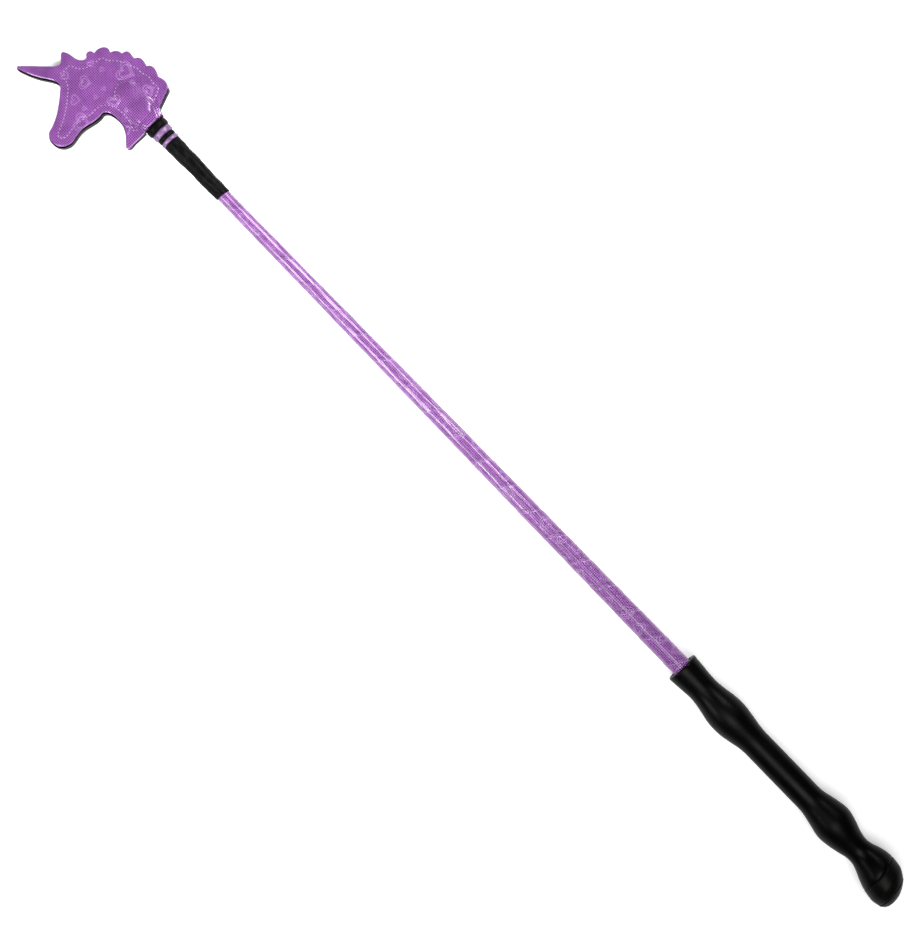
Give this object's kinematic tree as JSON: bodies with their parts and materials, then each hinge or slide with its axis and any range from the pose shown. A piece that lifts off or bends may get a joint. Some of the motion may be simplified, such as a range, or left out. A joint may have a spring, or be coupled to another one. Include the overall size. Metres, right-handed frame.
{
  "type": "riding crop",
  "caption": "Short riding crop: tapered shaft wound with embossed strip, swelled rubber grip with tilted pommel, and a sprung leather flapper cut as a horned pony's head.",
  "frame": {"origin": "middle of the grip barrel, on the shaft's axis", "axes": "+X along the shaft from the hand to the flapper, +Y across it to the side of the muzzle, +Z out of the flapper's embossed face side, up from the surface it lies on"},
  "size_m": [0.6539, 0.0675, 0.0242],
  "materials": {
    "rubber": "satin",
    "rigid_plastic": "matte",
    "badge_plastic": "satin",
    "screw_steel": "brushed",
    "fibreglass": "smooth, slightly glossy",
    "padding": "matte woven tape",
    "embossed_wrap": "metallic sheen, embossed with a fine grid and hearts",
    "embossed_leather": "metallic sheen, embossed with a fine grid and hearts",
    "black_leather": "satin, fine grain",
    "leatherboard": "dyed, pressed edge",
    "metallic_trim": "metallic foil, glossy",
    "lilac_thread": "twisted thread",
    "black_thread": "waxed thread"
  },
  "bodies": {
    "crop": {"grip": "rubber", "grip_core": "rigid_plastic", "front_bush": "rigid_plastic", "rear_plug": "rigid_plastic", "end_cap": "rubber", "end_badge": "badge_plastic", "cap_screw": "screw_steel", "core_rod": "fibreglass", "padding_sleeve": "padding", "spiral_wrap": "embossed_wrap", "whipping_thread": "black_thread", "leather_tail_upper": "black_leather", "leather_tail_lower": "black_leather", "binding_sleeve": "black_leather", "root_band": "black_leather", "middle_band": "black_leather", "trim_ring_front": "metallic_trim", "trim_ring_rear": "metallic_trim"},
    "flapper": {"flapper_front": "embossed_leather", "flapper_filler": "leatherboard", "flapper_back": "black_leather", "tongue_core": "leatherboard", "edge_stitching": "lilac_thread", "arch_stitching": "lilac_thread"}
  },
  "joints": [
    {"name": "flap_bend", "type": "hinge", "parent": "crop", "child": "flapper", "pos_m": [0.4877, 0, 0], "axis": [0, 1, 0], "range_deg": [-60, 70], "stiffness_Nm_per_rad": 0.8}
  ]
}
